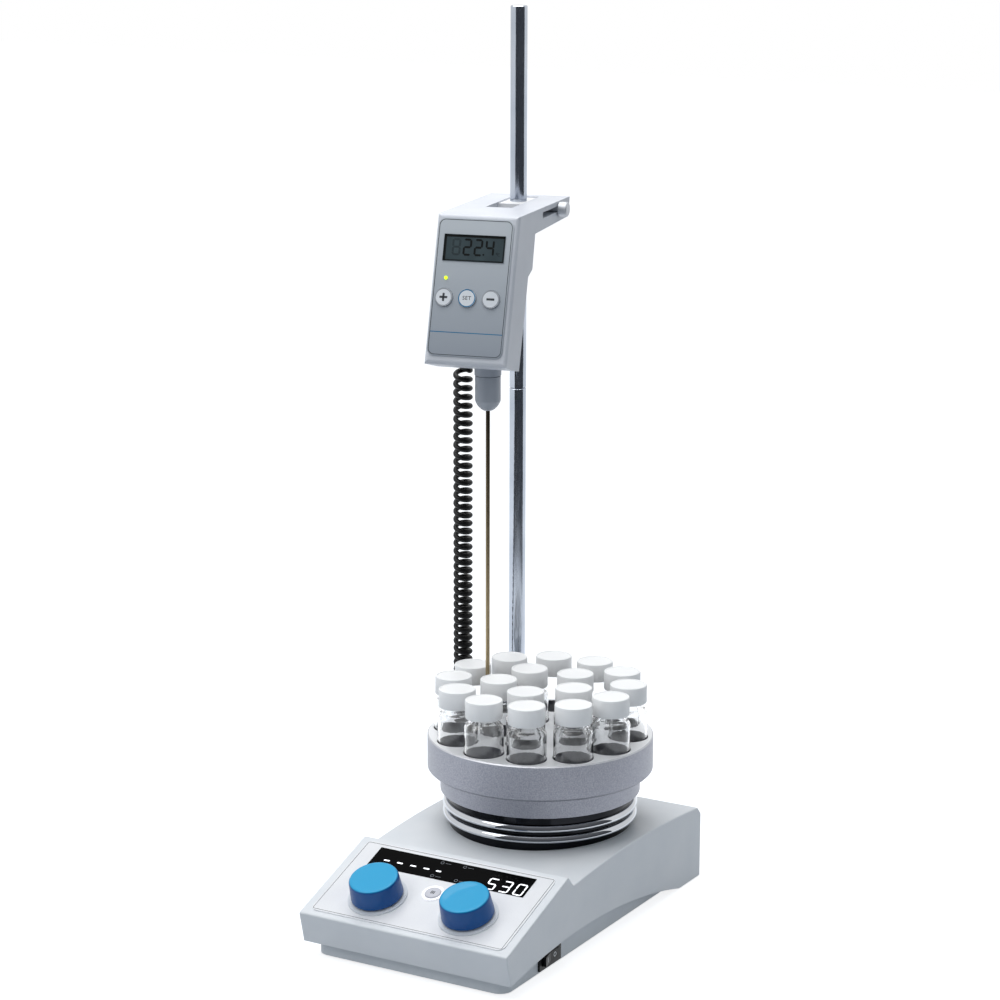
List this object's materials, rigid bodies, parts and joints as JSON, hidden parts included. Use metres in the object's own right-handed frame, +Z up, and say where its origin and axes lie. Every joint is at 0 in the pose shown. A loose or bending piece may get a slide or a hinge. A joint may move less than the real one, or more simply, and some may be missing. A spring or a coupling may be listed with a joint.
{
  "type": "heated magnetic stirrer",
  "caption": "Low wedge-shaped stirring hot plate with two knobs, a round block of capped vials and a rod that carries a temperature controller with probe and curly cord.",
  "frame": {"origin": "on the table, under the middle of the base casing", "axes": "+Z up, -Y towards the operator's side with the control panel, +X to the operator's right"},
  "size_m": [0.1768, 0.341, 0.623],
  "materials": {
    "casing": "satin",
    "plinth_grey": "matte",
    "rubber": "matte",
    "inlay": "satin",
    "black_glass": "gloss",
    "blue_metal": "satin",
    "board": "satin",
    "black_plastic": "satin",
    "steel": "brushed",
    "brass": "satin",
    "chrome": "mirror",
    "aluminium": "blasted",
    "dark_plate": "coated",
    "clear_glass": "clear",
    "cap_white": "satin",
    "case_grey": "fine texture",
    "face_grey": "satin",
    "lcd_glass": "gloss",
    "lamp": "gloss"
  },
  "bodies": {
    "base": {"base_plinth": "plinth_grey", "base_shell": "casing", "button_ring": "inlay", "case_screws": "steel", "cord_plug": "rubber", "cord_tail": "rubber", "curly_cord": "rubber", "display_board": "board", "display_window": "black_glass", "heating_element": "steel", "hot_plate": "dark_plate", "inlet_pins": "steel", "left_encoder": "black_plastic", "left_knob_bezel": "inlay", "lower_trim_ring": "chrome", "main_board": "board", "mains_inlet": "black_plastic", "motor_bearing": "brass", "motor_body": "steel", "motor_bracket": "steel", "panel_inlay": "inlay", "plate_insulation": "black_plastic", "plate_seat": "black_plastic", "power_switch_frame": "black_plastic", "probe_socket": "black_plastic", "right_encoder": "black_plastic", "right_knob_bezel": "inlay", "rod_lower": "chrome", "rod_socket": "steel", "rod_upper": "chrome", "rubber_feet": "rubber", "upper_trim_ring": "chrome"},
    "left_knob": {"left_knob": "blue_metal"},
    "right_knob": {"right_knob": "blue_metal"},
    "panel_button": {"panel_button": "cap_white"},
    "power_rocker": {"power_rocker": "black_plastic"},
    "stirring_rotor": {"motor_shaft": "steel", "magnet_carrier": "steel", "drive_magnets": "steel"},
    "block": {"vial_block": "aluminium"},
    "vial_set": {"vials": "clear_glass", "vial_caps": "cap_white"},
    "controller": {"controller_case": "case_grey", "controller_rear_cover": "case_grey", "controller_face_sheet": "face_grey", "controller_board": "board", "lcd_window": "lcd_glass", "status_lamp": "lamp", "clamp_block": "case_grey", "cover_screws": "steel", "probe_rod": "steel", "probe_collar": "face_grey", "probe_nut": "face_grey", "cord_gland": "rubber"},
    "clamp_screw": {"clamp_screw": "steel"},
    "plus_button": {"plus_button": "case_grey"},
    "set_button": {"set_button": "case_grey"},
    "minus_button": {"minus_button": "case_grey"}
  },
  "joints": [
    {"name": "left_knob_turn", "type": "hinge", "parent": "base", "child": "left_knob", "pos_m": [-0.0355, -0.1111, 0.04297], "axis": [0, -0.3322, 0.9432], "continuous": true},
    {"name": "right_knob_turn", "type": "hinge", "parent": "base", "child": "right_knob", "pos_m": [0.0355, -0.1111, 0.04297], "axis": [0, -0.3322, 0.9432], "continuous": true},
    {"name": "panel_button_press", "type": "slide", "parent": "base", "child": "panel_button", "axis": [0, 0.3322, -0.9432], "range_m": [0, 0.001], "stiffness_N_per_m": 800},
    {"name": "power_rocker_tip", "type": "hinge", "parent": "base", "child": "power_rocker", "pos_m": [0.074, -0.0715, 0.0096], "axis": [0, 0, 1], "range_deg": [-12, 0]},
    {"name": "stirrer_spin", "type": "hinge", "parent": "base", "child": "stirring_rotor", "pos_m": [0, 0.0469, 0.04], "axis": [0, 0, 1], "continuous": true},
    {"name": "block_lift", "type": "slide", "parent": "base", "child": "block", "axis": [0, 0, 1], "range_m": [0, 0.02]},
    {"name": "vials_lift", "type": "slide", "parent": "block", "child": "vial_set", "axis": [0, 0, 1], "range_m": [0, 0.04]},
    {"name": "controller_slide", "type": "slide", "parent": "base", "child": "controller", "axis": [0, 0, 1], "range_m": [0, 0.12], "deforming": ["curly_cord"]},
    {"name": "clamp_screw_turn", "type": "hinge", "parent": "controller", "child": "clamp_screw", "pos_m": [-0.04145, 0.12363, 0.4815], "axis": [0.9774, 0.2113, 0], "range_deg": [-360, 0]},
    {"name": "plus_button_press", "type": "slide", "parent": "controller", "child": "plus_button", "axis": [-0.2018, 0.9336, -0.2961], "range_m": [0, 0.0008], "stiffness_N_per_m": 600},
    {"name": "set_button_press", "type": "slide", "parent": "controller", "child": "set_button", "axis": [-0.2018, 0.9336, -0.2961], "range_m": [0, 0.0008], "stiffness_N_per_m": 600},
    {"name": "minus_button_press", "type": "slide", "parent": "controller", "child": "minus_button", "axis": [-0.2018, 0.9336, -0.2961], "range_m": [0, 0.0008], "stiffness_N_per_m": 600}
  ]
}
